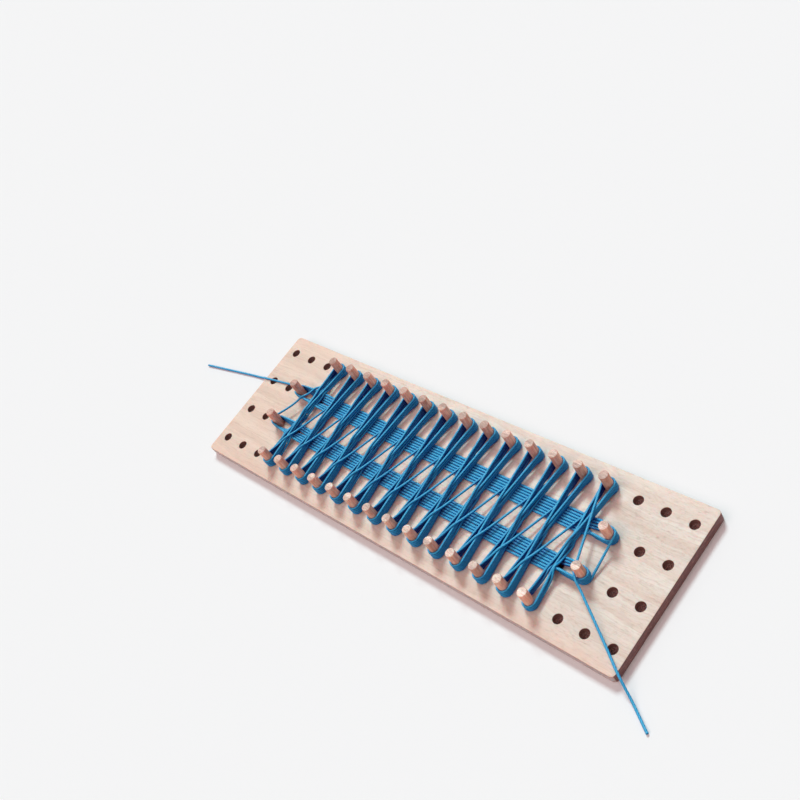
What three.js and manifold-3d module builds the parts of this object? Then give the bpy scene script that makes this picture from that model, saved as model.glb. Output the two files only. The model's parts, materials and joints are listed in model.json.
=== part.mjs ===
// Rectangular knitting loom: a flat wooden board with a grid of blind holes, plain dowel
// pegs pushed into some of them, and one strand of yarn wound on the pegs. Two bands run
// lengthwise round the inner pegs, and a figure of eight goes round each facing pair of
// outer pegs. Millimetres, +Z up, the board's long side along X, origin under its centre.

import * as THREE from 'three';
import { mergeVertices } from 'three/addons/utils/BufferGeometryUtils.js';
import Module from 'manifold-3d';

// Board
const boardLength = 480;
const boardWidth = 140;
const boardThickness = 9;
const cornerRadius = 4;
const edgeEase = 0.6;

// Grid of holes: columns along X, rows from the far side to the near side
const columns = 20;
const rows = 4;
const columnPitch = 24;
const rowPitch = 35;
const holeDiameter = 8.2;
const holeDepth = 7;

// Pegs
const pegClearance = 0.15;
const pegStandOut = 20;
const pegSeatGap = 0.3;
const pegEase = 0.5;
const roundSides = 16;
const firstPair = 3;
const lastPair = columns - 1 - firstPair;
const firstEndColumn = 2;
const lastEndColumn = columns - 1 - firstEndColumn;

// Yarn
const yarnDiameter = 1.6;
const yarnSides = 5;
const yarnToPeg = 0.12;
const yarnToBoard = 0.3;
const layerGap = 0.5;
const joinGap = 0.3;
const arcSteps = 4;

// Lengthwise bands: laps round two inner pegs, side by side between the end pegs
const bandLaps = 3;
const bandGap = 0.7;

// Cross windings: figures of eight, stacked on the pegs and side by side between them
const crossLoops = 3;
const stackGap = 1.4;
const spreadGap = 1.4;

// Free ends of the yarn: points that each passes through after it leaves the winding, chosen
// by hand. The strand's middle runs 1 mm over the board, and then 1 mm over the table.
const tailSides = 8;
const tailStep = 4.5;
const startTailRoute = [
  [-191, 22.4, 10.05],
  [-200, 21.5, 10],
  [-212, 19.9, 10],
  [-226, 17.9, 10],
  [-235, 16.6, 10],
  [-239.5, 16.1, 9.9],
  [-242, 16.2, 9.1],
  [-244.3, 16.8, 7.3],
  [-246.6, 17.6, 5.1],
  [-249.2, 18.2, 3.1],
  [-253, 18.1, 1.6],
  [-259, 17.35, 1.05],
  [-267, 16.3, 1],
  [-279, 14.5, 1],
  [-293, 12.3, 1],
  [-308, 9.9, 1],
  [-322, 7.7, 1],
  [-337, 5.3, 1],
];
const workingTailRoute = [
  [187, -28.6, 18],
  [195.2, -34.2, 16.2],
  [205.1, -40.9, 14],
  [215, -47.7, 12],
  [224.9, -54.4, 10.6],
  [233.2, -60.1, 10.05],
  [240, -64.7, 9.95],
  [242.5, -66.3, 9.4],
  [245.9, -68.5, 7.7],
  [250.1, -71.2, 5.2],
  [254.3, -73.8, 3],
  [258.5, -76.5, 1.6],
  [263.6, -79.8, 1.05],
  [270.3, -84.1, 1],
  [277, -88.3, 1],
];

// Places worked out from the sizes above
const pegRadius = holeDiameter / 2 - pegClearance;
const pegLength = pegStandOut + holeDepth - pegSeatGap;
const yarnRadius = yarnDiameter / 2;
const columnX = (column) => (column - (columns - 1) / 2) * columnPitch;
const rowY = (row) => ((rows - 1) / 2 - row) * rowPitch;
const farRow = rowY(0);
const nearRow = rowY(rows - 1);
const farInnerRow = rowY(1);
const nearInnerRow = rowY(rows - 2);

// The yarn goes round a peg in flat chords, and the middle of a chord just clears the peg.
const wrapRadius = (pegRadius + yarnToPeg + yarnRadius) / Math.cos(Math.PI / arcSteps / 2);
const floorLevel = boardThickness + yarnToBoard + yarnRadius;
const bandPitch = yarnDiameter + bandGap;
const bandStrands = 2 * bandLaps + 1;
const stackPitch = yarnDiameter + stackGap;
const spreadPitch = yarnDiameter + spreadGap;
const layerPitch = yarnDiameter + layerGap;
const arrivingLayer = floorLevel + layerPitch;
const lowLayer = arrivingLayer + layerPitch;
const highLayer = lowLayer + layerPitch;
const topLayer = highLayer + layerPitch;
const bandLevel = (lap) => floorLevel + lap * bandPitch;
const stackLevel = (lap) => floorLevel + lap * stackPitch;
const overBand = bandLevel(bandLaps) + layerPitch;

const point = (x, y, z) => new THREE.Vector3(x, y, z);
const mix = (a, b, share) => a + (b - a) * share;

const wasm = await Module();
wasm.setup();

const wood = { board: 0xe3d2c1, peg: 0xcfa58f };
const yarnBlue = 0x1468a8;

function materialOf(color, roughness) {
  return new THREE.MeshStandardMaterial({ color, roughness, metalness: 0 });
}

// A geometry with its shared vertices merged and without the slivers that a merge leaves.
function closed(geometry) {
  const bare = geometry.clone();
  bare.deleteAttribute('normal');
  bare.deleteAttribute('uv');
  const merged = mergeVertices(bare, 1e-4);
  const corners = merged.index.array;
  const kept = [];
  for (let i = 0; i < corners.length; i += 3) {
    const [a, b, c] = corners.slice(i, i + 3);
    if (a !== b && b !== c && c !== a) kept.push(a, b, c);
  }
  merged.setIndex(kept);
  return merged;
}

function solidOf(geometry) {
  const merged = closed(geometry);
  return new wasm.Manifold(new wasm.Mesh({
    numProp: 3,
    vertProperties: new Float32Array(merged.attributes.position.array),
    triVerts: new Uint32Array(merged.index.array),
  }));
}

function geometryOf(solid) {
  const mesh = solid.getMesh();
  const geometry = new THREE.BufferGeometry();
  geometry.setAttribute('position', new THREE.BufferAttribute(mesh.vertProperties, 3));
  geometry.setIndex(new THREE.BufferAttribute(mesh.triVerts, 1));
  geometry.computeVertexNormals();
  return geometry;
}

function boardOutline(length, width, radius) {
  const x = length / 2 - radius;
  const y = width / 2 - radius;
  const outline = new THREE.Shape();
  outline.absarc(x, y, radius, 0, Math.PI / 2);
  outline.absarc(-x, y, radius, Math.PI / 2, Math.PI);
  outline.absarc(-x, -y, radius, Math.PI, 1.5 * Math.PI);
  outline.absarc(x, -y, radius, 1.5 * Math.PI, 2 * Math.PI);
  return outline;
}

function makeBoard() {
  const blank = new THREE.ExtrudeGeometry(boardOutline(boardLength, boardWidth, cornerRadius), {
    depth: boardThickness - 2 * edgeEase,
    bevelEnabled: true,
    bevelThickness: edgeEase,
    bevelSize: edgeEase,
    bevelOffset: -edgeEase,
    bevelSegments: 1,
    curveSegments: 4,
  });
  blank.translate(0, 0, edgeEase);
  const overshoot = 1;
  const drillLength = holeDepth + overshoot;
  const drillMiddle = boardThickness - holeDepth + drillLength / 2;
  const drills = [];
  for (let row = 0; row < rows; row += 1) {
    for (let column = 0; column < columns; column += 1) {
      const drill = new THREE.CylinderGeometry(
        holeDiameter / 2, holeDiameter / 2, drillLength, roundSides);
      drill.rotateX(Math.PI / 2);
      drill.translate(columnX(column), rowY(row), drillMiddle);
      drills.push(solidOf(drill));
    }
  }
  return geometryOf(solidOf(blank).subtract(wasm.Manifold.union(drills)));
}

function makePeg() {
  const profile = [
    [0, 0],
    [pegRadius - pegEase, 0],
    [pegRadius, pegEase],
    [pegRadius, pegLength - pegEase],
    [pegRadius - pegEase, pegLength],
    [0, pegLength],
  ];
  const peg = new THREE.LatheGeometry(profile.map(([r, h]) => new THREE.Vector2(r, h)), roundSides);
  peg.rotateX(Math.PI / 2);
  return geometryOf(solidOf(peg));
}

// A closed tube along a run of points. Each ring lies in the plane that halves the bend.
function strand(path, radius, sides) {
  const headings = path.slice(1).map((p, i) => p.clone().sub(path[i]).normalize());
  const positions = [];
  const faces = [];
  let across = Math.abs(headings[0].z) > 0.9 ? point(1, 0, 0) : point(0, 0, 1);
  path.forEach((p, i) => {
    const before = headings[Math.max(i - 1, 0)];
    const after = headings[Math.min(i, headings.length - 1)];
    const along = before.clone().add(after).normalize();
    across = across.clone().addScaledVector(along, -across.dot(along)).normalize();
    const side = along.clone().cross(across);
    for (let n = 0; n < sides; n += 1) {
      const turn = ((n + 0.5) / sides) * 2 * Math.PI;
      const corner = p.clone()
        .addScaledVector(across, radius * Math.cos(turn))
        .addScaledVector(side, radius * Math.sin(turn));
      positions.push(corner.x, corner.y, corner.z);
    }
  });
  for (let i = 0; i < path.length - 1; i += 1) {
    for (let n = 0; n < sides; n += 1) {
      const a = i * sides + n;
      const b = i * sides + ((n + 1) % sides);
      faces.push(a, b, b + sides, a, b + sides, a + sides);
    }
  }
  const last = (path.length - 1) * sides;
  for (let n = 1; n < sides - 1; n += 1) {
    faces.push(0, n + 1, n);
    faces.push(last, last + n, last + n + 1);
  }
  const geometry = new THREE.BufferGeometry();
  geometry.setAttribute('position', new THREE.Float32BufferAttribute(positions, 3));
  geometry.setIndex(faces);
  geometry.computeVertexNormals();
  return geometry;
}

// The least gap that a strand leaves to itself, measured on points along its middle line.
// Points that are near each other along the strand itself are passed over.
function leastGap(path, diameter) {
  const spacing = 0.8;
  const samples = [];
  let travelled = 0;
  for (let i = 1; i < path.length; i += 1) {
    const length = path[i].distanceTo(path[i - 1]);
    const pieces = Math.ceil(length / spacing);
    for (let n = 0; n < pieces; n += 1) {
      const share = n / pieces;
      samples.push({
        at: path[i - 1].clone().lerp(path[i], share),
        run: travelled + length * share,
      });
    }
    travelled += length;
  }
  const apart = Math.PI * wrapRadius;
  let least = Infinity;
  for (let i = 0; i < samples.length; i += 1) {
    for (let j = i + 1; j < samples.length; j += 1) {
      if (samples[j].run - samples[i].run > apart) {
        least = Math.min(least, samples[i].at.distanceTo(samples[j].at));
      }
    }
  }
  return least - diameter;
}

// Points round a peg at one height, from one angle to another in degrees.
function wrap(x, y, z, from, to, steps = arcSteps) {
  return Array.from({ length: steps + 1 }, (_, i) => {
    const angle = THREE.MathUtils.degToRad(mix(from, to, i / steps));
    return point(x + wrapRadius * Math.cos(angle), y + wrapRadius * Math.sin(angle), z);
  });
}

// Bands. Each side of a peg carries a group of strands, stacked on the peg. Towards the
// middle of the board the stack lies down, and the strands run flat side by side.
const bandFlatEnd = columnX(lastPair) + wrapRadius + yarnRadius + layerGap;
const bandEnd = columnX(lastEndColumn);
const bandHalfWidth = ((bandStrands - 1) / 2) * bandPitch + yarnRadius;

// One strand of a band from its left end to its right end. The far group has one strand
// more than the near group when outer is 1, and one less when outer is -1.
function bandRun(rowMiddle, group, outer, index, leftLap, rightLap) {
  const strands = group === outer ? bandLaps + 1 : bandLaps;
  const others = bandStrands - strands;
  const flatMiddle = rowMiddle + (group * others * bandPitch) / 2;
  const stackedMiddle = rowMiddle + group * wrapRadius;
  const spread = (index - (strands - 1) / 2) * bandPitch * group;
  const place = (x, lean, lap) => {
    const turn = (lean * Math.PI) / 2;
    const middle = mix(flatMiddle, stackedMiddle, lean);
    return point(
      x, middle + spread * Math.cos(turn), floorLevel + lap * bandPitch * Math.sin(turn));
  };
  const halfWay = (bandFlatEnd + bandEnd) / 2;
  return [
    place(-bandEnd, 1, leftLap),
    place(-halfWay, 0.5, leftLap),
    place(-bandFlatEnd, 0, leftLap),
    place(bandFlatEnd, 0, rightLap),
    place(halfWay, 0.5, rightLap),
    place(bandEnd, 1, rightLap),
  ];
}

function farBandPath() {
  const path = [point(-bandEnd - yarnDiameter, farInnerRow + wrapRadius, bandLevel(0))];
  for (let lap = 0; lap < bandLaps; lap += 1) {
    path.push(...bandRun(farInnerRow, 1, 1, lap, lap, lap));
    path.push(...wrap(bandEnd, farInnerRow, bandLevel(lap), 90, -90).slice(1, -1));
    path.push(...bandRun(farInnerRow, -1, 1, lap, lap + 1, lap).reverse());
    path.push(...wrap(-bandEnd, farInnerRow, bandLevel(lap + 1), 270, 90).slice(1, -1));
  }
  path.push(...bandRun(farInnerRow, 1, 1, bandLaps, bandLaps, bandLaps));
  path.push(...wrap(bandEnd, farInnerRow, bandLevel(bandLaps), 90, 0, arcSteps / 2).slice(1));
  const linkTop = farInnerRow - wrapRadius;
  const linkFoot = nearInnerRow + wrapRadius;
  const linkX = bandEnd + wrapRadius;
  path.push(point(linkX, linkTop, bandLevel(bandLaps)));
  path.push(point(linkX, linkFoot + yarnDiameter, bandLevel(0)));
  path.push(point(linkX, nearInnerRow + yarnDiameter + joinGap, bandLevel(0)));
  return path;
}

// The same laps, begun from the right. The strand leaves the last left peg for the far peg
// of the first pair, over the end of the far band and under the first cross winding.
function nearBandPath() {
  const path = [point(bandEnd + wrapRadius, nearInnerRow + yarnDiameter, bandLevel(0))];
  path.push(...wrap(bandEnd, nearInnerRow, bandLevel(0), 0, -90, arcSteps / 2).slice(0, -1));
  for (let lap = 0; lap < bandLaps; lap += 1) {
    path.push(...bandRun(nearInnerRow, -1, -1, lap, lap, lap).reverse());
    path.push(...wrap(-bandEnd, nearInnerRow, bandLevel(lap), 270, 90).slice(1, -1));
    path.push(...bandRun(nearInnerRow, 1, -1, lap, lap, lap + 1));
    path.push(...wrap(bandEnd, nearInnerRow, bandLevel(lap + 1), 90, -90).slice(1, -1));
  }
  path.push(...bandRun(nearInnerRow, -1, -1, bandLaps, bandLaps, bandLaps).reverse());
  const arriving = arrival(firstPair);
  const aim = Math.atan2(
    arriving[0].x + bandEnd + wrapRadius, arriving[0].y - nearInnerRow);
  const leavingAngle = 180 - THREE.MathUtils.radToDeg(aim);
  const round = wrap(
    -bandEnd, nearInnerRow, bandLevel(bandLaps), 270, leavingAngle, arcSteps / 2 + 1);
  path.push(
    ...round.slice(1),
    ...between(round[round.length - 1], arriving[0], [
      [farInnerRow - wrapRadius, bandLevel(bandLaps) + joinGap],
      [flatReach, lowLayer - layerGap],
    ]),
    ...arriving);
  return path;
}

// Points on the way from one place to another, seen from above, each given by its Y and height.
function between(from, to, stops) {
  return stops.map(([y, z]) => {
    const share = (y - from.y) / (to.y - from.y);
    return point(mix(from.x, to.x, share), y, z);
  });
}

// The last stretch of a strand that comes to the far peg of a pair, on its right side.
function arrival(column) {
  const x = columnX(column) + wrapRadius;
  const end = farRow - yarnDiameter - joinGap;
  return [point(x, end - yarnDiameter, stackLevel(0)), point(x, end, stackLevel(0))];
}

// The strands that cross between the pegs of a pair lie flat over the bands, those from the
// far left peg side on top. Past the bands they turn up into the stack on the pegs.
const flatReach = farInnerRow + bandHalfWidth + layerGap + yarnRadius;

function crossing(column, loop, loops, farSide, layer) {
  const x = columnX(column);
  const slant = (wrapRadius * flatReach) / farRow;
  const spread = (loop - (loops - 1) / 2) * spreadPitch;
  return [
    point(x + farSide * slant + spread, flatReach, layer),
    point(x - farSide * slant + spread, -flatReach, layer),
  ];
}

// Each loop goes round the far peg from right to left, down to the right side of the near
// peg, round it, and back up. The last pair's strand ends on the far peg.
function crossPath(column) {
  const x = columnX(column);
  const isLast = column === lastPair;
  const downward = isLast ? crossLoops - 1 : crossLoops;
  const path = [point(x + wrapRadius, farRow - yarnDiameter, stackLevel(0))];
  for (let loop = 0; loop < crossLoops; loop += 1) {
    path.push(...wrap(x, farRow, stackLevel(loop), 0, 180));
    if (loop < downward) {
      path.push(...crossing(column, loop, downward, -1, highLayer));
      path.push(...wrap(x, nearRow, stackLevel(loop), 0, -180));
    }
    if (loop < crossLoops - 1) {
      path.push(...crossing(column, loop, crossLoops - 1, 1, lowLayer).reverse());
    }
  }
  path.push(...(isLast ? lastHandOver() : handOver(column)));
  return path;
}

// From the near peg's left side over its own winding, and under the next one to that far peg.
function handOver(column) {
  const leaving = point(columnX(column) - wrapRadius, nearRow, stackLevel(crossLoops - 1));
  const arriving = arrival(column + 1);
  return [
    ...between(leaving, arriving[0], [
      [-flatReach - spreadPitch * 2, topLayer],
      [-flatReach + spreadPitch * 2, topLayer],
      [flatReach, arrivingLayer],
    ]),
    ...arriving,
  ];
}

// From the last far peg down to the near inner end peg, round it, and off as the free end.
const workingAim = Math.atan2(
  workingTailRoute[0][1] - nearInnerRow + wrapRadius, workingTailRoute[0][0] - bandEnd);
const workingHeading = point(Math.cos(workingAim), Math.sin(workingAim), 0);

function lastHandOver() {
  const leavingAngle = THREE.MathUtils.radToDeg(workingAim) + 270;
  const round = wrap(bandEnd, nearInnerRow, overBand, 180, leavingAngle, arcSteps / 2);
  const end = round[round.length - 1].clone().addScaledVector(workingHeading, yarnDiameter);
  return [...round, end];
}

// A free end starts square to the end of the winding, and then follows its route.
function tailPath(start, heading, route) {
  const through = [
    start.clone().addScaledVector(heading, joinGap),
    start.clone().addScaledVector(heading, joinGap + 2 * yarnDiameter),
    ...route.map(([x, y, z]) => point(x, y, z)),
  ];
  const curve = new THREE.CatmullRomCurve3(through, false, 'centripetal');
  return curve.getSpacedPoints(Math.ceil(curve.getLength() / tailStep));
}

function startTailPath() {
  return tailPath(farBandPath()[0], point(-1, 0, 0), startTailRoute);
}

function workingTailPath() {
  return tailPath(lastHandOver().pop(), workingHeading, workingTailRoute);
}

const loom = new THREE.Group();
loom.name = 'knitting_loom';

function addPiece(name, geometry, color, roughness, group = loom) {
  const mesh = new THREE.Mesh(geometry, materialOf(color, roughness));
  mesh.name = name;
  group.add(mesh);
  return mesh;
}

addPiece('board', makeBoard(), wood.board, 0.7);

const pegGeometry = makePeg();
function addPeg(name, column, row) {
  const peg = addPiece(name, pegGeometry, wood.peg, 0.65);
  peg.position.set(columnX(column), rowY(row), boardThickness - holeDepth + pegSeatGap);
}

const pairNumber = (column) => String(column - firstPair + 1).padStart(2, '0');
for (let column = firstPair; column <= lastPair; column += 1) {
  addPeg(`peg_far_${pairNumber(column)}`, column, 0);
  addPeg(`peg_near_${pairNumber(column)}`, column, rows - 1);
}
addPeg('peg_end_far_left', firstEndColumn, 1);
addPeg('peg_end_far_right', lastEndColumn, 1);
addPeg('peg_end_near_left', firstEndColumn, rows - 2);
addPeg('peg_end_near_right', lastEndColumn, rows - 2);

function addYarn(name, path, sides = yarnSides) {
  addPiece(name, strand(path, yarnRadius, sides), yarnBlue, 0.9);
  return leastGap(path, yarnDiameter);
}

const gaps = [
  addYarn('yarn_band_far', farBandPath()),
  addYarn('yarn_band_near', nearBandPath()),
];
for (let column = firstPair; column <= lastPair; column += 1) {
  gaps.push(addYarn(`yarn_cross_${pairNumber(column)}`, crossPath(column)));
}
console.log('least gap of a winding to itself, mm:', Math.min(...gaps).toFixed(2));

addYarn('yarn_tail_start', startTailPath(), tailSides);
addYarn('yarn_tail_working', workingTailPath(), tailSides);

export default loom;
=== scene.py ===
"""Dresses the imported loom: turned pegs, a drilled board and the wound yarn, with materials.

Lengths are in millimetres until a mesh is made, and the frame itself is in metres.
"""

import json
import math

import bmesh
import bpy
import numpy as np
from mathutils import Matrix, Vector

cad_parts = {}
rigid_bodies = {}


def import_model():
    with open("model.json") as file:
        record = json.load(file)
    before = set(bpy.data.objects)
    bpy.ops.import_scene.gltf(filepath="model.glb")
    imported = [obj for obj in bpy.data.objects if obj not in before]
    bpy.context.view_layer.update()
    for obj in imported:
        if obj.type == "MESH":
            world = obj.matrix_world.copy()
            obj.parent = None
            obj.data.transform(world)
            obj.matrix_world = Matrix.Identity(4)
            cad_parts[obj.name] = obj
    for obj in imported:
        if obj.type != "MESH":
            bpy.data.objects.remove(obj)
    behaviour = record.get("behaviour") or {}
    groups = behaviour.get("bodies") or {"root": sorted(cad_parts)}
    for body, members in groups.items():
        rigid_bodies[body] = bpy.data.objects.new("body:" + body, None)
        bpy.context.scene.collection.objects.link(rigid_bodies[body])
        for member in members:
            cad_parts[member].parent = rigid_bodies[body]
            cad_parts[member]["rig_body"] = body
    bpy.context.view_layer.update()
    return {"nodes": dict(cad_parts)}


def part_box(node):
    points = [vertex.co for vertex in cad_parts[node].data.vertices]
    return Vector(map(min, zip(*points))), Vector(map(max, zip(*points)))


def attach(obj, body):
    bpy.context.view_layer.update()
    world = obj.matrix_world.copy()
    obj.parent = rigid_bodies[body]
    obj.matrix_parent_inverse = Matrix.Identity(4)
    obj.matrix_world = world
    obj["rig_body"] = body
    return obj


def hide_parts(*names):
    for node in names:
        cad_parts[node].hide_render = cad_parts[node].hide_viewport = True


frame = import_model()
scene = bpy.context.scene
MM = 0.001

# Camera, solved from the corners and holes of the board in the photograph

CAMERA_PLACE = (594.918, -199.267, 677.388)
CAMERA_RIGHT = (0.66913141, 0.5912517, -0.45020505)
CAMERA_DOWN = (0.28865467, -0.76502723, -0.57568378)
CAMERA_FORWARD = (-0.68479313, 0.25525431, -0.68257132)
CAMERA_LENS = 50.149
SENSOR_WIDTH = 36

camera_data = bpy.data.cameras.new("camera")
camera_data.lens = CAMERA_LENS
camera_data.sensor_width = SENSOR_WIDTH
camera = bpy.data.objects.new("camera", camera_data)
scene.collection.objects.link(camera)
camera.matrix_world = Matrix([
    (right, -down, -forward, place * MM)
    for right, down, forward, place in zip(
        CAMERA_RIGHT, CAMERA_DOWN, CAMERA_FORWARD, CAMERA_PLACE)
] + [(0, 0, 0, 1)])
scene.camera = camera

# Sizes of the board and the pegs

BOARD_HIGH = np.array(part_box("board")[1]) / MM
TOP = BOARD_HIGH[2]
COLUMNS = 20
ROWS = 4
COLUMN_PITCH = 24.0
ROW_PITCH = 35.0
CORNER_RADIUS = 4.0
CORNER_STEPS = 8
EDGE_EASE = 0.6
HOLE_RADIUS = 4.1
HOLE_DEPTH = 7.0
HOLE_FLOOR = TOP - HOLE_DEPTH
HOLE_EASE = 0.3
HOLE_SIDES = 40
# Faces whose normal has more than this of Z are level, and are shaded flat
LEVEL_FACE = 0.99

PEG_LOW, PEG_HIGH = (np.array(corner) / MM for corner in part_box("peg_far_01"))
PEG_RADIUS = (PEG_HIGH[0] - PEG_LOW[0]) / 2
PEG_SIDES = 40
# How far the peg is drawn in, and how far that is from its foot or from its top
PEG_FOOT = [(0.6, 0), (0.1, 0.6), (0, 2)]
PEG_TOP = [(0, 0.8), (0.12, 0.35), (0.45, 0.06), (1.1, 0)]
# Heights over the board at which a peg is a little thicker or thinner, and how much
PEG_SWELLS = (4, 14)
SWELL = 0.03
UNEVENNESS = 0.004

# Sizes of the yarn

YARN_RADIUS = 1.03
BAND_RADIUS = 1.15
# The bands have their own radius up to the first x, and the yarn's from the second
BAND_TAPER = [150, 172]
# Room between a strand and the wood that it lies on
PLAY = 0.05
WRAP = PEG_RADIUS + YARN_RADIUS + PLAY
# Height from one strand to the next where they stand on each other
STACK_PITCH = 2.25
# Least distance between the middles of two strands of a pair, once they are settled
TOUCH = 1.93
# Steps between the points of a free stretch, of a turn round a peg and of the mesh
STEP = 1.5
ARC_STEP = 1.2
RING_STEP = 0.8
# Points of a line that are nearer than the first are one point, and ends of its parts that
# are nearer than the second are one end
SAME_POINT = 0.05
SHARED_END = 0.3
# How widely the line is softened, and how many points on each side count for it
SOFTNESS = 1.1
SOFT_POINTS = 3

FIRST_PAIR, LAST_PAIR = 3, 16
LOOPS = 4
# Unevenness of the heights on a peg, and of the sideways bow, which the last pair has less
LEVEL_SPREAD = 0.12
STRAY = 0.9
LAST_STRAY = 0.3
# Height over the board of a pair's first strand before it settles, and the rise for each loop
MIDDLE_HEIGHT = 3.0
LOOP_RISE = 1.9
SETTLE_ROUNDS = 220
# Share of the way back to its chord that a strand goes in each round
STRAIGHTEN = 0.01
# How far to the left and to the right of a pair it can lie on the bands
BANDS_LEFT = 14
BANDS_RIGHT = 40
# The x between which the strand to the first pair can lie on the bands
LEAD_SPAN = (-190, -140)
# Heights over the board of the strands that lead on, at shares of their way
LEAD = [(0.3, 9), (0.5, 9), (0.6, 7)]
HAND_OVER = [(0.12, 10.5), (0.3, 11.0), (0.45, 7.0), (0.75, 4.0)]
LAST_HAND_OVER = [(0.3, 10.0), (0.6, 11.0)]

BAND_LAPS = 3
# Distance of the strands where they lie flat, and how far outwards all of them lie there
BAND_PITCH = 2.36
BAND_SHIFT = 0.8
BAND_END = 180.0
BAND_POINTS = 91
# Where the strands of a band stop lying flat at the left and at the right
FAR_FLAT = (-139.0, 157.0)
NEAR_FLAT = (-139.0, 152.0)
STAND_UP = 10.0
# The strands of a band wander a little, and less within CALM_END of its ends
WANDER_ASIDE = 0.13
WANDER_UP = 0.08
WAVELENGTH = 70.0
CALM_END = 20

# Length of one full turn of the plies, and how far out one of them reaches across its width
LAY_LENGTH = 12.0
PLY_SECTION = (1.0, 0.965, 0.87, 0.965)
PLIES = 4

rng = np.random.default_rng(11)


def column_x(column):
    return (column - (COLUMNS - 1) / 2) * COLUMN_PITCH


def row_y(row):
    return ((ROWS - 1) / 2 - row) * ROW_PITCH


def level(lap):
    """The height of a strand's middle on a peg, with lap strands under it."""
    return TOP + YARN_RADIUS + PLAY + lap * STACK_PITCH


# Route of the yarn. A stop is a peg's x and y, and 1 for a turn to the left or -1 to the right

FAR, FAR_INNER, NEAR_INNER, NEAR = (row_y(row) for row in range(ROWS))
LEFT_FAR, RIGHT_FAR = (-BAND_END, FAR_INNER, -1), (BAND_END, FAR_INNER, -1)
LEFT_NEAR, RIGHT_NEAR = (-BAND_END, NEAR_INNER, -1), (BAND_END, NEAR_INNER, -1)
# Angles round a peg
FAR_SIDE, NEAR_SIDE, RIGHT_SIDE = math.pi / 2, -math.pi / 2, 0

START_TAIL = [
    (-181.9, 22.77, 10.1), (-185.1, 22.77, 10.1), (-191, 22.4, 10.05), (-200, 21.5, 10),
    (-212, 19.9, 10), (-226, 17.9, 10), (-235, 16.6, 10), (-239.5, 16.1, 9.9),
    (-242, 16.2, 9.1), (-244.3, 16.8, 7.3), (-246.6, 17.6, 5.1), (-249.2, 18.2, 3.1),
    (-253, 18.1, 1.6), (-259, 17.35, 1.05), (-267, 16.3, 1), (-279, 14.5, 1),
    (-293, 12.3, 1), (-308, 9.9, 1), (-322, 7.7, 1), (-337, 5.3, 1),
]
WORKING_TAIL = [
    (178.09, -22.77, 19.1), (180.55, -24.81, 19.1), (187, -28.6, 18), (195.2, -34.2, 16.2),
    (205.1, -40.9, 14), (215, -47.7, 12), (224.9, -54.4, 10.6), (233.2, -60.1, 10.05),
    (240, -64.7, 9.95), (242.5, -66.3, 9.4), (245.9, -68.5, 7.7), (250.1, -71.2, 5.2),
    (254.3, -73.8, 3), (258.5, -76.5, 1.6), (263.6, -79.8, 1.05), (270.3, -84.1, 1),
    (277, -88.3, 1),
]


def tangent(first, second):
    """The angles at which a taut strand leaves one stop and arrives at the next."""
    gap = np.subtract(second[:2], first[:2])
    lean = math.asin(WRAP * (second[2] - first[2]) / np.hypot(*gap))
    aim = math.atan2(gap[1], gap[0]) - lean
    return aim - first[2] * math.pi / 2, aim - second[2] * math.pi / 2


def at(stop, angle, height):
    return np.array([
        stop[0] + WRAP * math.cos(angle), stop[1] + WRAP * math.sin(angle), height])


def arc(stop, start, end, height):
    """The way round a peg from one angle to another, in the sense of the stop."""
    sweep = (stop[2] * (end - start)) % (2 * math.pi)
    steps = max(2, math.ceil(sweep * WRAP / ARC_STEP))
    angles = start + stop[2] * sweep * np.linspace(0, 1, steps + 1)
    return np.array([at(stop, angle, height) for angle in angles])


def distances(points):
    """How far along the line each of its points is."""
    steps = np.linalg.norm(np.diff(points, axis=0), axis=1)
    return np.concatenate([[0], np.cumsum(steps)])


def through(points):
    """A smooth line through the points, in even steps."""
    points = np.asarray(points, float)
    along = distances(points)
    slopes = np.gradient(points, along, axis=0)
    count = max(2, math.ceil(along[-1] / STEP))
    wanted = np.linspace(0, along[-1], count + 1)
    index = np.clip(np.searchsorted(along, wanted, side="right") - 1, 0, len(points) - 2)
    width = (along[index + 1] - along[index])[:, None]
    t = (wanted - along[index])[:, None] / width
    return (
        (2 * t**3 - 3 * t**2 + 1) * points[index]
        + (t**3 - 2 * t**2 + t) * width * slopes[index]
        + (3 * t**2 - 2 * t**3) * points[index + 1]
        + (t**3 - t**2) * width * slopes[index + 1])


def wander(places, size):
    """A slow unevenness along a strand."""
    waves = np.zeros(len(places))
    for _ in range(3):
        turn = 2 * math.pi / (WAVELENGTH * rng.uniform(0.5, 1.6))
        waves += np.sin(places * turn + rng.uniform(0, 2 * math.pi))
    return waves * size / 2


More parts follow.
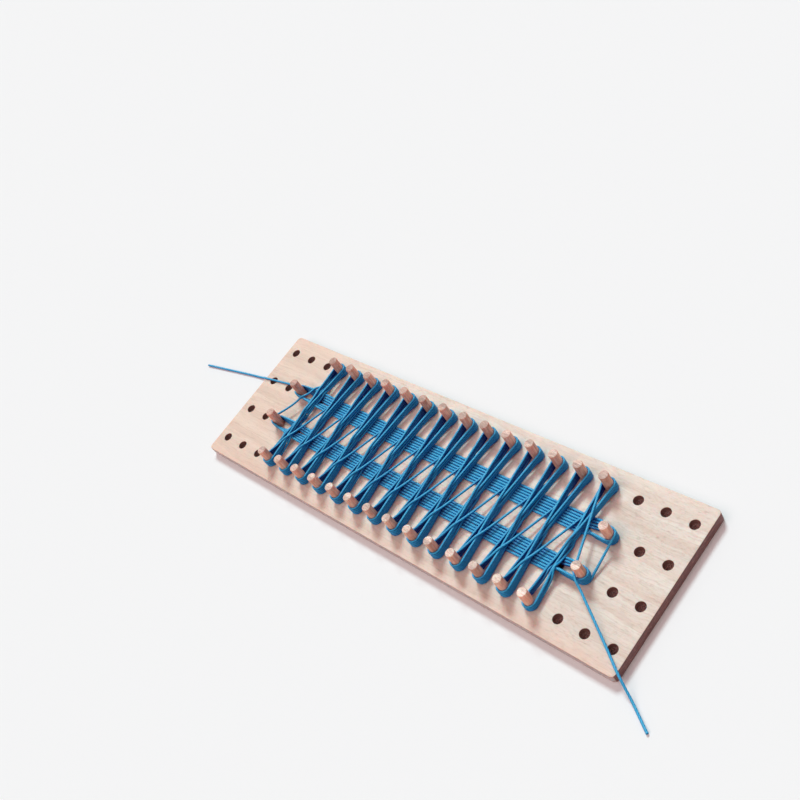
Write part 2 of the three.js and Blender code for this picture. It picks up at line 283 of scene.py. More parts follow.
def band_run(row, group, outer, index, left_lap, right_lap, flat):
    """One strand of a band from its left peg to its right one.

    On a peg the strands of a group stand on each other, and in the middle they lie flat.
    flat gives where the flat stretch ends at the left and at the right. At the right the
    strands on the near side of a band stand up within STAND_UP of that end.
    """
    strands = BAND_LAPS + 1 if group == outer else BAND_LAPS
    others = 2 * BAND_LAPS + 1 - strands
    flat_middle = row + outer * BAND_SHIFT + group * others * BAND_PITCH / 2
    stacked_middle = row + group * WRAP
    spread = (index - (strands - 1) / 2) * BAND_PITCH * group
    x = np.linspace(-BAND_END, BAND_END, BAND_POINTS)
    left = np.clip((flat[0] - x) / (flat[0] + BAND_END), 0, 1)
    right = np.clip((x - flat[1]) / (BAND_END - flat[1]), 0, 1)
    aside = np.maximum(left, right)
    if group < 0:
        right = np.clip((x - flat[1]) / STAND_UP, 0, 1)
    lean = np.maximum(left, right * right * (3 - 2 * right))
    lap = np.where(x < 0, left_lap, right_lap)
    y = flat_middle + (stacked_middle - flat_middle) * aside
    y += spread * np.cos(lean * math.pi / 2)
    z = level(0) + lap * STACK_PITCH * np.sin(lean * math.pi / 2)
    calm = np.sqrt(np.clip((BAND_END - np.abs(x)) / CALM_END, 0, 1))
    y += wander(x, WANDER_ASIDE) * calm
    z += np.abs(wander(x, WANDER_UP)) * calm
    return np.column_stack([x, y, z])


def far_band():
    parts = []
    last = BAND_LAPS
    for lap in range(BAND_LAPS):
        parts.append(band_run(FAR_INNER, 1, 1, lap, lap, lap, FAR_FLAT))
        parts.append(arc(RIGHT_FAR, FAR_SIDE, NEAR_SIDE, level(lap)))
        parts.append(band_run(FAR_INNER, -1, 1, lap, lap + 1, lap, FAR_FLAT)[::-1])
        parts.append(arc(LEFT_FAR, NEAR_SIDE, FAR_SIDE, level(lap + 1)))
    parts.append(band_run(FAR_INNER, 1, 1, last, last, last, FAR_FLAT))
    parts.append(arc(RIGHT_FAR, FAR_SIDE, RIGHT_SIDE, level(last)))
    parts.append(through([
        at(RIGHT_FAR, RIGHT_SIDE, level(last)), at(RIGHT_NEAR, RIGHT_SIDE, level(0))]))
    return parts


def near_band():
    parts = [arc(RIGHT_NEAR, RIGHT_SIDE, NEAR_SIDE, level(0))]
    last = BAND_LAPS
    for lap in range(BAND_LAPS):
        parts.append(band_run(NEAR_INNER, -1, -1, lap, lap, lap, NEAR_FLAT)[::-1])
        parts.append(arc(LEFT_NEAR, NEAR_SIDE, FAR_SIDE, level(lap)))
        parts.append(band_run(NEAR_INNER, 1, -1, lap, lap, lap + 1, NEAR_FLAT))
        parts.append(arc(RIGHT_NEAR, FAR_SIDE, NEAR_SIDE, level(lap + 1)))
    parts.append(band_run(NEAR_INNER, -1, -1, last, last, last, NEAR_FLAT)[::-1])
    return parts


def taut(start, end, heights):
    """A straight strand seen from above, with heights at shares of its way."""
    count = max(4, math.ceil(np.linalg.norm(end - start) / STEP))
    share = np.linspace(0, 1, count + 1)
    line = start + (end - start) * share[:, None]
    shares, values = zip((0, start[2]), *heights, (1, end[2]))
    line[:, 2] = np.interp(share, shares, values)
    return line


def over_board(heights):
    return [(share, TOP + height) for share, height in heights]


def crossing(start, end, middle, stray):
    """A strand from one outer peg to the facing one, bowed a little to one side."""
    line = taut(start, end, [(0.25, middle), (0.5, middle), (0.75, middle)])
    line[:, 0] += rng.normal(0, stray) * np.sin(np.linspace(0, math.pi, len(line))) ** 2
    return line


def push_apart(points, free, first, second):
    """Moves free points of different strands apart until the strands only touch."""
    close = np.abs(points[first, 1] - points[second, 1]) < TOUCH
    i, j = first[close], second[close]
    gap = points[j] - points[i]
    length = np.linalg.norm(gap, axis=1)
    hit = length < TOUCH
    i, j, gap, length = i[hit], j[hit], gap[hit], length[hit]
    push = gap / np.maximum(length, 1e-6)[:, None] * ((TOUCH - length) / 2)[:, None]
    move, count = np.zeros_like(points), np.zeros(len(points))
    np.add.at(move, j, push)
    np.add.at(move, i, -push)
    np.add.at(count, i, 1)
    np.add.at(count, j, 1)
    points[free] += (move / np.maximum(count, 1)[:, None])[free]


def clear_pegs(points, free, pegs):
    """Moves free points out of the pegs."""
    for x, y in pegs:
        away = points[:, :2] - (x, y)
        reach = np.linalg.norm(away, axis=1)
        inside = (reach < WRAP) & free
        points[inside, :2] += away[inside] * (WRAP / reach[inside] - 1)[:, None]


def lift_over(points, free, fixed):
    """Lifts free points over the board and the strands that are already in place."""
    flat = np.linalg.norm(points[:, None, :2] - fixed[None, :, :2], axis=2)
    under = fixed[None, :, 2] + np.sqrt(np.maximum((2 * YARN_RADIUS) ** 2 - flat**2, 0))
    lowest = np.where(flat < 2 * YARN_RADIUS, under, level(0)).max(axis=1)
    points[free, 2] = np.maximum(points[free, 2], lowest[free])


def settle(spans, fixed, pegs):
    """Pulls strands taut between their ends while they lie on and beside each other."""
    points = np.concatenate(spans)
    owner = np.concatenate([[i] * len(span) for i, span in enumerate(spans)])
    chord = np.concatenate([
        np.linspace(span[0], span[-1], len(span)) for span in spans])
    change = owner[1:] != owner[:-1]
    free = ~(np.r_[True, change] | np.r_[change, True])
    first, second = np.triu_indices(len(points), 1)
    apart = owner[first] != owner[second]
    first, second = first[apart], second[apart]
    for _ in range(SETTLE_ROUNDS):
        smooth = points.copy()
        smooth[1:-1] = 0.25 * points[:-2] + 0.5 * points[1:-1] + 0.25 * points[2:]
        smooth += (chord - smooth) * STRAIGHTEN
        points[free] = smooth[free]
        push_apart(points, free, first, second)
        clear_pegs(points, free, pegs)
        lift_over(points, free, fixed)
    return [points[owner == i] for i in range(len(spans))]


def between(points, low, high):
    """The points whose x lies between two values."""
    return points[(points[:, 0] > low) & (points[:, 0] < high)]


def wind_pair(column, incoming, bands, next_stop):
    """The parts of the yarn round one pair, and the angle at which the last one arrives.

    The yarn goes round the far peg and the near peg in turn, and then on to the next stop.
    In the last pair it goes round the near peg once less, and so leaves from the far one.
    """
    x = column_x(column)
    last = column == LAST_PAIR
    # One more is drawn than there are loops, and the shape of all later pairs rests on that
    heights = [
        level(lap) + rng.uniform(-LEVEL_SPREAD, LEVEL_SPREAD) for lap in range(LOOPS + 1)]
    heights[0] = level(0)
    stops = [(x, FAR, 1), (x, NEAR, -1)] * LOOPS
    if last:
        stops.pop()
    leaves, spans = [], []
    arrivals = [math.atan2(incoming[-1][1] - FAR, incoming[-1][0] - x)]
    for turn, (stop, following) in enumerate(zip(stops, stops[1:] + [next_stop])):
        leave, arrive = tangent(stop, following)
        leaves.append(leave)
        arrivals.append(arrive)
        start = at(stop, leave, heights[turn // 2])
        if turn < len(stops) - 1:
            end = at(following, arrive, heights[(turn + 1) // 2])
            middle = TOP + MIDDLE_HEIGHT + LOOP_RISE * turn / 2
            spans.append(crossing(start, end, middle, LAST_STRAY if last else STRAY))
        else:
            end = at(following, arrive, level(BAND_LAPS + 1 if last else 0))
            spans.append(taut(start, end, over_board(LAST_HAND_OVER if last else HAND_OVER)))
    fixed = np.concatenate([between(bands, x - BANDS_LEFT, x + BANDS_RIGHT), incoming])
    spans = settle(spans, fixed, [(x, FAR), (x, NEAR), next_stop[:2]])
    parts = []
    for turn, stop in enumerate(stops):
        parts.append(arc(stop, arrivals[turn], leaves[turn], heights[turn // 2]))
        parts.append(spans[turn])
    return parts, arrivals[-1]


def joined(parts):
    """One line from its parts, without the points that they share."""
    points = [parts[0]]
    for part in parts[1:]:
        shared = np.linalg.norm(part[0] - points[-1][-1]) < SHARED_END
        points.append(part[1:] if shared else part)
    return np.concatenate(points)


def whole_strand():
    """The yarn from its start to its free end, as pieces with names."""
    far_parts, near_parts = far_band(), near_band()
    bands = np.concatenate([joined(far_parts), joined(near_parts)])
    first_stop = (column_x(FIRST_PAIR), FAR, 1)
    leave, arrive = tangent(LEFT_NEAR, first_stop)
    near_parts.append(arc(LEFT_NEAR, NEAR_SIDE, leave, level(BAND_LAPS)))
    incoming = taut(
        at(LEFT_NEAR, leave, level(BAND_LAPS)), at(first_stop, arrive, level(0)),
        over_board(LEAD))
    incoming = settle([incoming], between(bands, *LEAD_SPAN), [first_stop[:2]])[0]
    near_parts.append(incoming)
    pieces = [
        ("start_tail", through(START_TAIL)[::-1]),
        ("far_band", joined(far_parts)),
        ("near_band", joined(near_parts)),
    ]
    for column in range(FIRST_PAIR, LAST_PAIR + 1):
        last = column == LAST_PAIR
        next_stop = (BAND_END, NEAR_INNER, 1) if last else (column_x(column + 1), FAR, 1)
        parts, arrive = wind_pair(column, incoming, bands, next_stop)
        incoming = parts[-1]
        if last:
            aim = math.atan2(
                WORKING_TAIL[0][1] - NEAR_INNER, WORKING_TAIL[0][0] - BAND_END)
            parts.append(arc(next_stop, arrive, aim, level(BAND_LAPS + 1)))
        pieces.append((f"winding_{column - FIRST_PAIR + 1:02d}", joined(parts)))
    pieces.append(("working_tail", through(WORKING_TAIL[1:])))
    return pieces


def resample(points, owner):
    """Even steps along the line, softened a little, with the piece that each belongs to."""
    keep = np.r_[True, np.linalg.norm(np.diff(points, axis=0), axis=1) > SAME_POINT]
    points, owner = points[keep], owner[keep]
    offsets = np.arange(-SOFT_POINTS, SOFT_POINTS + 1) * RING_STEP
    weights = np.exp(-0.5 * (offsets / SOFTNESS) ** 2)
    weights /= weights.sum()
    for _ in range(2):
        along = distances(points)
        wanted = np.linspace(0, along[-1], math.ceil(along[-1] / RING_STEP) + 1)
        nearest = np.clip(np.searchsorted(along, wanted), 0, len(owner) - 1)
        points = np.column_stack([np.interp(wanted, along, axis) for axis in points.T])
        owner = owner[nearest]
        padded = np.concatenate(
            [points[:1]] * SOFT_POINTS + [points] + [points[-1:]] * SOFT_POINTS)
        points = np.column_stack([
            np.convolve(axis, weights, mode="valid") for axis in padded.T])
    return points, owner


def frames(points):
    """Two directions across the line at each point, carried along without turning."""
    heading = np.gradient(points, axis=0)
    heading /= np.linalg.norm(heading, axis=1)[:, None]
    across = np.empty_like(points)
    side = np.cross(heading[0], (0.0, 0.0, 1.0))
    for i, ahead in enumerate(heading):
        side = side - ahead * side.dot(ahead)
        side /= np.linalg.norm(side)
        across[i] = side
    return across, np.cross(heading, across)


# Meshes

def add_object(name, mesh, material):
    mesh.materials.append(material)
    made = bpy.data.objects.new(name, mesh)
    scene.collection.objects.link(made)
    return made


def tube(name, rings, tips, material, strand=None, level_is_flat=False):
    """A closed tube through rings of points, with a tip in the middle of each end.

    strand gives a point of the yarn's own space for each vertex, for its material.
    level_is_flat leaves level faces out of the smooth shading.
    """
    count, around = rings.shape[:2]
    vertices = np.concatenate([rings.reshape(-1, 3), tips]) * MM
    faces = []
    for ring in range(count - 1):
        start, ahead = ring * around, (ring + 1) * around
        for k in range(around):
            nxt = (k + 1) % around
            faces.append((start + k, start + nxt, ahead + nxt, ahead + k))
    first, last = count * around, count * around + 1
    end = (count - 1) * around
    for k in range(around):
        nxt = (k + 1) % around
        faces.append((first, nxt, k))
        faces.append((last, end + k, end + nxt))
    mesh = bpy.data.meshes.new(name)
    mesh.from_pydata(vertices.tolist(), [], faces)
    mesh.update()
    for polygon in mesh.polygons:
        polygon.use_smooth = not (level_is_flat and abs(polygon.normal.z) > LEVEL_FACE)
    if strand is not None:
        layer = mesh.attributes.new("strand", "FLOAT_VECTOR", "POINT")
        layer.data.foreach_set("vector", np.asarray(strand, np.float32).ravel())
    return add_object(name, mesh, material)


def yarn_mesh(name, points, radius, across, upright, along, material):
    """A tube of four plies that turn round each other along the points."""
    around = PLIES * len(PLY_SECTION)
    section = np.array(PLY_SECTION * PLIES)
    base = np.arange(around) * 2 * math.pi / around
    turn = base[None] + (along * 2 * math.pi / LAY_LENGTH)[:, None]
    reach = radius[:, None] * section[None]
    offset_x, offset_y = reach * np.cos(turn), reach * np.sin(turn)
    points = points + np.column_stack([0 * radius, 0 * radius, radius - YARN_RADIUS])
    rings = (
        points[:, None] + offset_x[..., None] * across[:, None]
        + offset_y[..., None] * upright[:, None])
    local = np.stack([
        section * np.cos(turn), section * np.sin(turn),
        np.repeat(along[:, None], around, axis=1)], axis=2)
    strand = np.concatenate([
        local.reshape(-1, 3), [(0, 0, along[0])], [(0, 0, along[-1])]])
    return tube(name, rings, points[[0, -1]], material, strand)


def peg_mesh(name, x, y, foot, top, material):
    """A turned dowel, not quite round and not quite straight."""
    swell = rng.uniform(-SWELL, SWELL)
    profile = [(PEG_RADIUS - inset, foot + rise) for inset, rise in PEG_FOOT]
    profile += [
        (PEG_RADIUS + swell, TOP + PEG_SWELLS[0]), (PEG_RADIUS - swell, TOP + PEG_SWELLS[1])]
    profile += [(PEG_RADIUS - inset, top - drop) for inset, drop in PEG_TOP]
    angles = np.arange(PEG_SIDES) * 2 * math.pi / PEG_SIDES
    rings = []
    for radius, z in profile:
        uneven = radius * (1 + UNEVENNESS * np.sin(2 * angles + rng.uniform(0, 6.28)))
        rings.append(np.column_stack([
            x + uneven * np.cos(angles), y + uneven * np.sin(angles), np.full(PEG_SIDES, z)]))
    tips = [(x, y, foot), (x, y, top)]
    return tube(name, np.array(rings), tips, material, level_is_flat=True)


def outline(inset):
    """The board's rounded rectangle, drawn in by inset."""
    radius = CORNER_RADIUS - inset
    middles = [
        (sign_x * (BOARD_HIGH[0] - CORNER_RADIUS), sign_y * (BOARD_HIGH[1] - CORNER_RADIUS))
        for sign_x, sign_y in ((1, 1), (-1, 1), (-1, -1), (1, -1))]
    angles = np.linspace(0, math.pi / 2, CORNER_STEPS + 1)
    return [
        (x + radius * math.cos(angle + corner * math.pi / 2),
         y + radius * math.sin(angle + corner * math.pi / 2))
        for corner, (x, y) in enumerate(middles) for angle in angles]


def circle(x, y, radius):
    angles = np.arange(HOLE_SIDES) * 2 * math.pi / HOLE_SIDES
    return [
        (x + radius * math.cos(angle), y + radius * math.sin(angle))
        for angle in angles[::-1]]


def stacked_rings(mesh, rings):
    """Vertices of rings that are given as flat points and a height, with walls between them."""
    made = [[mesh.verts.new((x * MM, y * MM, z * MM)) for x, y in ring] for ring, z in rings]
    for upper, lower in zip(made, made[1:]):
        for k in range(len(upper)):
            mesh.faces.new((upper[k - 1], lower[k - 1], lower[k], upper[k]))
    return made


def loop_edges(mesh, ring):
    return [
        mesh.edges.get((ring[k - 1], ring[k])) or mesh.edges.new((ring[k - 1], ring[k]))
        for k in range(len(ring))]


def board_mesh(name, material):
    """The board with eased edges and all its blind holes."""
    mesh = bmesh.new()
    slope = EDGE_EASE * (1 - math.sqrt(0.5))
    sides = stacked_rings(mesh, [
        (outline(EDGE_EASE), TOP), (outline(slope), TOP - slope), (outline(0), TOP - EDGE_EASE),
        (outline(0), EDGE_EASE), (outline(slope), slope), (outline(EDGE_EASE), 0)])
    mesh.faces.new(sides[-1][::-1])
    edges = loop_edges(mesh, sides[0])
    for x, y in ((column_x(column), row_y(row))
                 for column in range(COLUMNS) for row in range(ROWS)):
        walls = stacked_rings(mesh, [
            (circle(x, y, HOLE_RADIUS + HOLE_EASE), TOP),
            (circle(x, y, HOLE_RADIUS + HOLE_EASE * 0.3), TOP - HOLE_EASE * 0.35),
            (circle(x, y, HOLE_RADIUS), TOP - HOLE_EASE),
            (circle(x, y, HOLE_RADIUS), HOLE_FLOOR)])
        mesh.faces.new(walls[-1])
        edges += loop_edges(mesh, walls[0])
    bmesh.ops.triangle_fill(mesh, use_beauty=True, edges=edges, normal=(0, 0, 1))
    bmesh.ops.recalc_face_normals(mesh, faces=mesh.faces)
    for face in mesh.faces:
        face.smooth = abs(face.normal.z) < LEVEL_FACE
    data = bpy.data.meshes.new(name)
    mesh.to_mesh(data)
    mesh.free()
    return add_object(name, data, material)


# Nodes of the materials

def node(tree, kind, inputs=None, **settings):
    """A new node. Each input, by name or number, is a value or another node's output."""
    made = tree.nodes.new("ShaderNode" + kind)
    for key, value in settings.items():
        setattr(made, key, value)
    for key, value in (inputs or {}).items():
        if isinstance(value, bpy.types.NodeSocket):
            tree.links.new(value, made.inputs[key])
        else:
            made.inputs[key].default_value = value
    return made


def calc(tree, operation, *values):
    return node(tree, "Math", dict(enumerate(values)), operation=operation).outputs[0]


def total(tree, first, second):
    return calc(tree, "ADD", first, second)


def product(tree, first, second):
    return calc(tree, "MULTIPLY", first, second)


def absolute(tree, value):
    return calc(tree, "ABSOLUTE", value)


def moved(tree, vector, shift):
    return node(tree, "VectorMath", {0: vector, 1: shift}, operation="ADD").outputs[0]


def scaled(tree, vector, scale):
    return node(
        tree, "VectorMath", {0: vector, 1: scale}, operation="MULTIPLY").outputs[0]


def brightened(tree, base, factor):
    return node(
        tree, "VectorMath", {0: base, "Scale": factor}, operation="SCALE").outputs[0]


def split(tree, vector):
    """The X, Y and Z of a vector."""
    return node(tree, "SeparateXYZ", {0: vector}).outputs


def noise(tree, vector, scale, detail, roughness, distortion=0.0):
    """Noise with a fineness of its own along each axis."""
    return node(tree, "TexNoise", {
        "Vector": scaled(tree, vector, scale), "Scale": 1.0, "Detail": detail,
        "Roughness": roughness, "Distortion": distortion}).outputs["Fac"]


def remap(tree, value, low, high, to_low=0.0, to_high=1.0, smooth=True):
    """Goes from to_low to to_high as the value goes from low to high."""
    return node(tree, "MapRange", {
        "Value": value, "From Min": low, "From Max": high,
        "To Min": to_low, "To Max": to_high,
    }, interpolation_type="SMOOTHSTEP" if smooth else "LINEAR").outputs[0]


def blend(tree, factor, first, second, mode="MIX"):
    """The first colour at a factor of 0, and at 1 the second or their product."""
    made = node(tree, "Mix", None, data_type="RGBA", blend_type=mode)
    for socket, value in zip((made.inputs[0], made.inputs[6], made.inputs[7]),
                             (factor, first, second)):
        if isinstance(value, bpy.types.NodeSocket):
            tree.links.new(value, socket)
        else:
            socket.default_value = value
    return made.outputs[2]


def colour(red, green, blue):
    """An sRGB colour in 0..255 as a linear one."""
    linear = [
        (c / 12.92) if c <= 0.04045 else ((c + 0.055) / 1.055) ** 2.4
        for c in (red / 255, green / 255, blue / 255)]
    return (*linear, 1.0)


def two_tone(tree, pattern, low, high, first, second):
    """One colour where the pattern is low, and another where it is high."""
    return blend(tree, remap(tree, pattern, low, high), colour(*first), colour(*second))


def tinted(tree, base, pattern, low, high, amount, tint):
    """The base turned towards a tint, by up to amount as the pattern goes from low to high."""
    return blend(tree, remap(tree, pattern, low, high, 0, amount), base, colour(*tint))


def new_material(name):
    made = bpy.data.materials.new(name)
    made.use_nodes = True
    tree = made.node_tree
    return made, tree, tree.nodes["Principled BSDF"]


def place_in_mm(tree):
    return scaled(tree, node(tree, "TexCoord").outputs["Object"], (1000, 1000, 1000))


def facing(tree):
    """The X, Y and Z of the direction that the surface faces."""
    return split(tree, node(tree, "NewGeometry").outputs["Normal"])


def finish_material(tree, shader, base, roughness, height, distance):
    tree.links.new(base, shader.inputs["Base Color"])
    tree.links.new(roughness, shader.inputs["Roughness"])
    bump = node(tree, "Bump", {"Height": height, "Distance": distance, "Strength": 1.0})
    tree.links.new(bump.outputs["Normal"], shader.inputs["Normal"])


def let_light_in(shader):
    """A little light goes into wood and comes out again beside it."""
    shader.inputs["Subsurface Weight"].default_value = 0.45
    shader.inputs["Subsurface Radius"].default_value = (1.0, 0.3, 0.2)
    shader.inputs["Subsurface Scale"].default_value = 0.005


# Wood of the board. Its growth rings run along it, a little aslant

RING_SLOPE = 0.07
RING_START = 50.3
RING_WIDTH = 21.0


def board_face(tree, axes, aside, grain, lines, pores):
    """The top and the underside, warmer towards the left and along the near edge."""
    broad = noise(tree, grain, (0.006, 0.11, 0.11), 4, 0.6, 0.4)
    figure = noise(tree, grain, (0.09, 0.8, 0.8), 4, 0.65, 0.6)
    ring = total(tree, product(tree, axes[0], RING_SLOPE), total(tree, axes[1], aside))
    ring = calc(tree, "DIVIDE", calc(tree, "SUBTRACT", ring, RING_START), RING_WIDTH)
    ring = calc(tree, "FRACT", ring)
    late = product(tree, remap(tree, ring, 0.62, 0.04), remap(tree, ring, 0.0, 0.035))
    cool = two_tone(tree, broad, 0.3, 0.7, (236, 222, 210), (226, 209, 196))
    warm = two_tone(tree, broad, 0.3, 0.7, (240, 216, 198), (230, 202, 184))
    base = blend(tree, remap(tree, axes[0], 60, -230), cool, warm)
    base = tinted(tree, base, axes[1], -52, -68, 0.5, (240, 205, 186))
    base = blend(tree, product(tree, late, 0.38), base, colour(218, 190, 172))
    base = tinted(tree, base, figure, 0.5, 0.7, 0.3, (206, 178, 160))
    base = tinted(tree, base, lines, 0.5, 0.72, 0.36, (190, 158, 138))
    base = tinted(tree, base, pores, 0.62, 0.72, 0.28, (170, 135, 112))
    # Painted light under the winding, lightening the wood where the yarn shades it, and a
    # little lighter towards the far edge
    painted_light_under_yarn = product(
        tree, remap(tree, absolute(tree, axes[0]), 178, 158),
        remap(tree, absolute(tree, axes[1]), 57, 44))
    lift = node(tree, "CombineXYZ", {
        i: remap(tree, painted_light_under_yarn, 0, 1, 1.0, most, smooth=False)
        for i, most in enumerate((1.17, 1.13, 1.12))}).outputs[0]
    base = scaled(tree, base, lift)
    return brightened(tree, base, remap(tree, axes[1], 48, 69, 1.0, 1.07))


def board_end(tree, place, axes, normal):
    """The end grain, darker than the top at both ends. The right end is darker still as painted
    shade, with a painted shade line along its top edge, and the left one is lighter.
    """
    lines = noise(tree, place, (1.0, 0.05, 1.4), 4, 0.6)
    mottle = noise(tree, place, (1.0, 0.3, 0.7), 3, 0.6)
    # The right end is darker than the left as painted shade
    right = two_tone(tree, lines, 0.35, 0.65, (137, 89, 85), (103, 63, 61))
    right = tinted(tree, right, mottle, 0.52, 0.68, 0.6, (162, 109, 101))
    # Painted shade along the top edge of the right end
    right = tinted(tree, right, axes[2], 7.4, 8.3, 0.45, (93, 51, 45))
    left = two_tone(tree, lines, 0.35, 0.65, (200, 156, 138), (172, 124, 106))
    return blend(tree, remap(tree, normal[0], 0.2, -0.2), right, left)


def board_side(tree, axes, lines):
    """The long sides, with a line of another layer under the top edge."""
    side = two_tone(tree, lines, 0.4, 0.6, (198, 180, 178), (180, 158, 154))
    stripe = product(tree, remap(tree, axes[2], 7.3, 7.7), remap(tree, axes[2], 8.7, 8.3))
    return blend(tree, product(tree, stripe, 0.8), side, colour(176, 104, 84))


def hole_wall(tree, place, axes):
    """The drilled wood in the holes, speckled, and darker in the upper part of the wall than
    near the floor.
    """
    speckle = noise(tree, place, (1.1, 1.1, 1.1), 3, 0.6)
    wall = two_tone(tree, speckle, 0.4, 0.62, (122, 86, 82), (190, 146, 138))
    return blend(tree, remap(tree, axes[2], TOP - 6.6, TOP - 4), wall, colour(118, 78, 70))


def inside_hole(tree, axes):
    """1 in the holes under the top of the board, and 0 elsewhere."""
    squares = []
    for value, pitch in ((axes[0], COLUMN_PITCH), (axes[1], ROW_PITCH)):
        offset = calc(tree, "WRAP", total(tree, value, pitch / 2), pitch / 2, -pitch / 2)
        squares.append(product(tree, offset, offset))
    reach = calc(tree, "SQRT", total(tree, *squares))
    return product(
        tree, remap(tree, reach, HOLE_RADIUS + 0.2, HOLE_RADIUS + 0.05),
        remap(tree, axes[2], TOP - 0.15, TOP - 0.5))


def board_material():
    made, tree, shader = new_material("board_wood")
    place = place_in_mm(tree)
    axes = split(tree, place)
    normal = facing(tree)
    slow_wave = noise(tree, place, (0.03, 0.04, 0.04), 2, 0.5)
    quick_wave = noise(tree, place, (0.11, 0.1, 0.1), 2, 0.5)
    aside = total(tree, product(tree, slow_wave, 7.0), product(tree, quick_wave, 2.0))
    grain = moved(tree, place, node(tree, "CombineXYZ", {1: aside}).outputs[0])
    lines = noise(tree, grain, (0.02, 0.95, 0.95), 4, 0.68, 0.8)
    pores = noise(tree, place, (0.25, 3.2, 3.2), 2, 0.5)
    base = board_face(tree, axes, aside, grain, lines, pores)
    on_end = remap(tree, absolute(tree, normal[0]), 0.6, 0.85)
    base = blend(tree, on_end, base, board_end(tree, place, axes, normal))
    on_side = product(
        tree, remap(tree, absolute(tree, normal[1]), 0.6, 0.85),
        remap(tree, absolute(tree, axes[1]), 66, 67))
    base = blend(tree, on_side, base, board_side(tree, axes, lines))
    base = blend(tree, inside_hole(tree, axes), base, hole_wall(tree, place, axes))
    height = total(
        tree, product(tree, lines, 0.6),
        product(tree, remap(tree, pores, 0.55, 0.75), -0.5))
    roughness = remap(tree, lines, 0.3, 0.7, 0.5, 0.62)
    finish_material(tree, shader, base, roughness, height, distance=0.00025)
    let_light_in(shader)
    return made


# Wood of the pegs. Each peg stands on the border of two cells, and each half of it takes its
# tone and its grain from its own cell

def peg_material():
    made, tree, shader = new_material("peg_wood")
    place = place_in_mm(tree)
    axes = split(tree, place)
    cell = node(tree, "VectorMath", {
        0: scaled(tree, place, (1 / COLUMN_PITCH, 2 / ROW_PITCH, 0)),
    }, operation="FLOOR").outputs[0]
    chance = node(tree, "TexWhiteNoise", {"Vector": cell}).outputs
    hue = split(tree, chance["Color"])[0]
    shift = moved(tree, place, scaled(tree, cell, (31, 57, 0)))
    streaks = noise(tree, shift, (0.9, 0.9, 0.05), 4, 0.62, 0.4)
    fibres = noise(tree, shift, (4.5, 4.5, 0.22), 2, 0.5)
    blotch = noise(tree, shift, (0.22, 0.22, 0.12), 2, 0.5)
    base = two_tone(tree, streaks, 0.36, 0.64, (252, 208, 184), (224, 162, 138))
    base = tinted(tree, base, blotch, 0.42, 0.66, 0.6, (208, 140, 116))
    base = tinted(tree, base, fibres, 0.55, 0.7, 0.5, (168, 104, 82))
    base = tinted(tree, base, hue, 0.3, 1.0, 0.35, (206, 134, 112))
    rings = noise(tree, shift, (0.35, 1.9, 0.2), 3, 0.55, 0.5)
    top = two_tone(tree, rings, 0.38, 0.62, (252, 230, 216), (214, 178, 164))
    darker_top = blend(tree, 1.0, top, colour(203, 185, 179), mode="MULTIPLY")
    # The tops are darker towards the far left
    far_left = calc(tree, "SUBTRACT", axes[0], product(tree, axes[1], 2.2))
    top = blend(tree, remap(tree, far_left, -250, 200, smooth=False), darker_top, top)
    base = blend(tree, remap(tree, facing(tree)[2], 0.5, 0.8), base, top)
    light = remap(tree, chance["Value"], 0, 1, 0.74, 1.26, smooth=False)
    base = brightened(tree, base, light)
    height = total(tree, streaks, product(tree, fibres, 0.5))
    roughness = remap(tree, fibres, 0.3, 0.7, 0.5, 0.66)
    finish_material(tree, shader, base, roughness, height, distance=0.0002)
    let_light_in(shader)
    return made


# Yarn. Its patterns follow the strand, from the vectors that its mesh carries

def yarn_material():
    made, tree, shader = new_material("yarn")
    strand = node(tree, "Attribute", attribute_name="strand").outputs["Vector"]
    axes = split(tree, strand)
    section = node(tree, "CombineXYZ", {0: axes[0], 1: axes[1]}).outputs[0]
    reach = node(tree, "VectorMath", {0: section}, operation="LENGTH").outputs["Value"]
    fibres = noise(tree, strand, (5.0, 5.0, 0.7), 3, 0.6, 0.4)
    tufts = noise(tree, strand, (1.6, 1.6, 0.35), 2, 0.5)
    slow = noise(tree, strand, (0.05, 0.05, 0.03), 2, 0.5)
    base = two_tone(tree, fibres, 0.3, 0.7, (0, 164, 252), (6, 212, 255))
    base = tinted(tree, base, tufts, 0.45, 0.7, 0.4, (86, 230, 255))
    base = tinted(tree, base, slow, 0.35, 0.65, 0.25, (0, 132, 224))
    # Painted shade between the strands and on their sides, and a painted highlight on top
    painted_shade_occlusion = node(tree, "AmbientOcclusion", {"Distance": 0.009}, samples=8)
    base = tinted(tree, base, painted_shade_occlusion.outputs["AO"], 0.86, 0.2, 1, (0, 42, 178))
    upward = facing(tree)[2]
    base = tinted(tree, base, upward, 0.7, 0.0, 0.68, (0, 68, 166))
    base = tinted(tree, base, upward, 0.6, 1.0, 0.4, (124, 206, 236))
    # Painted shade in the valleys between the plies
    base = brightened(tree, base, remap(tree, reach, 0.87, 0.98, 0.6, 1.0))
    height = total(tree, fibres, product(tree, tufts, 0.5))
    roughness = remap(tree, fibres, 0.3, 0.7, 0.25, 0.36)
    finish_material(tree, shader, base, roughness, height, distance=0.00022)
    shader.inputs["Specular IOR Level"].default_value = 0.36
    shader.inputs["Specular Tint"].default_value = colour(208, 240, 255)
    shader.inputs["Sheen Weight"].default_value = 0.06
    shader.inputs["Sheen Roughness"].default_value = 0.45
    shader.inputs["Sheen Tint"].default_value = colour(60, 175, 235)
    return made


board_wood = board_material()
peg_wood = peg_material()
yarn_blue = yarn_material()

# Yarn in place

CAD_NODE = {
    "start_tail": "yarn_tail_start",
    "far_band": "yarn_band_far",
    "near_band": "yarn_band_near",
    "working_tail": "yarn_tail_working",
}
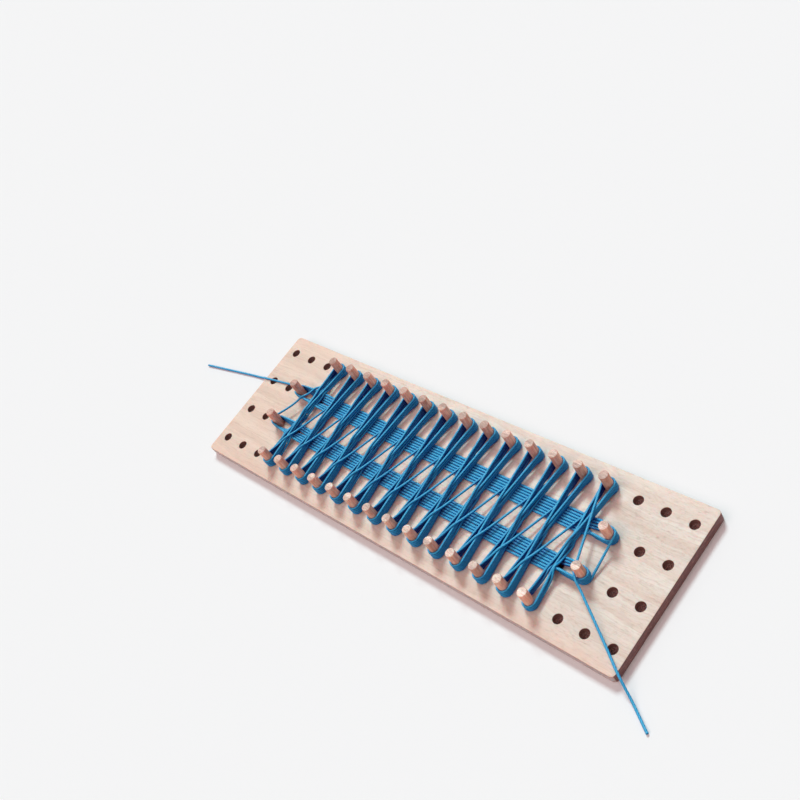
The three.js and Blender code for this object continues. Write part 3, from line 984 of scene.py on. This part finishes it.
strand_pieces = whole_strand()
points, owners = resample(
    np.concatenate([line for _, line in strand_pieces]),
    np.concatenate([np.full(len(line), i) for i, (_, line) in enumerate(strand_pieces)]))
across, upright = frames(points)
along = np.arange(len(points)) * RING_STEP
for i, (name, _) in enumerate(strand_pieces):
    own = np.flatnonzero(owners == i)
    own = np.r_[own, min(own[-1] + 1, len(points) - 1)]
    spread = BAND_RADIUS if "band" in name else YARN_RADIUS
    radius = np.interp(np.abs(points[own, 0]), BAND_TAPER, [spread, YARN_RADIUS])
    piece = yarn_mesh(
        name, points[own], radius, across[own], upright[own], along[own], yarn_blue)
    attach(piece, "loom")
    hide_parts(CAD_NODE.get(name, name.replace("winding", "yarn_cross")))

# Pegs in place

for name, cad in frame["nodes"].items():
    if name.startswith("peg_"):
        low, high = (np.array(corner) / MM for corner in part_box(name))
        x, y = (low[:2] + high[:2]) / 2
        piece = peg_mesh(name.replace("peg_", "dowel_"), x, y, low[2], high[2], peg_wood)
        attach(piece, cad["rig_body"])
        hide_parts(name)

# Board in place

drilled_board = board_mesh("drilled_board", board_wood)
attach(drilled_board, "loom")
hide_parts("board")

# Floor and light

PALE = (0.92, 0.92, 0.92, 1)
SHADE_LIGHT = (0.316, 0.262, 0.262, 1)
# Half the floor's side and its depth under the board, in metres
FLOOR_REACH = 4.0
FLOOR_DEPTH = 0.0002

floor_material, _, floor_shader = new_material("floor")
floor_shader.inputs["Base Color"].default_value = PALE
floor_shader.inputs["Roughness"].default_value = 0.9
floor_shader.inputs["Specular IOR Level"].default_value = 0.0
floor_mesh = bpy.data.meshes.new("floor")
floor_mesh.from_pydata(
    [(x * FLOOR_REACH, y * FLOOR_REACH, -FLOOR_DEPTH)
     for x, y in ((-1, -1), (1, -1), (1, 1), (-1, 1))], [], [(0, 1, 2, 3)])
floor = add_object("floor", floor_mesh, floor_material)


def lamp(name, energy, spread, tint, origin):
    """A distant soft light that shines from the direction of origin."""
    data = bpy.data.lights.new(name, "SUN")
    data.energy = energy
    data.angle = spread
    data.color = tint
    z_axis = np.array(origin) / np.linalg.norm(origin)
    x_axis = np.cross((0, 0, 1), z_axis)
    x_axis /= np.linalg.norm(x_axis)
    y_axis = np.cross(z_axis, x_axis)
    made = bpy.data.objects.new(name, data)
    made.matrix_world = Matrix([
        (*row, 0) for row in np.column_stack([x_axis, y_axis, z_axis])] + [(0, 0, 0, 1)])
    scene.collection.objects.link(made)


lamp("key", energy=2.14, spread=0.3, tint=(0.78, 1.01, 1.03), origin=(-1.0, 1.0, 1.57))
lamp("fill", energy=0.95, spread=0.9, tint=(1.06, 0.83, 0.81), origin=(-0.15, -0.6, 1.1))

world = bpy.data.worlds.new("world")
scene.world = world
world.use_nodes = True
sky = world.node_tree
seen = node(sky, "LightPath").outputs
shown = calc(
    sky, "MAXIMUM", seen["Is Camera Ray"],
    calc(sky, "MAXIMUM", seen["Is Glossy Ray"], seen["Is Transmission Ray"]))
sky.links.new(blend(sky, shown, SHADE_LIGHT, PALE), sky.nodes["Background"].inputs["Color"])
scene.view_settings.view_transform = "Standard"
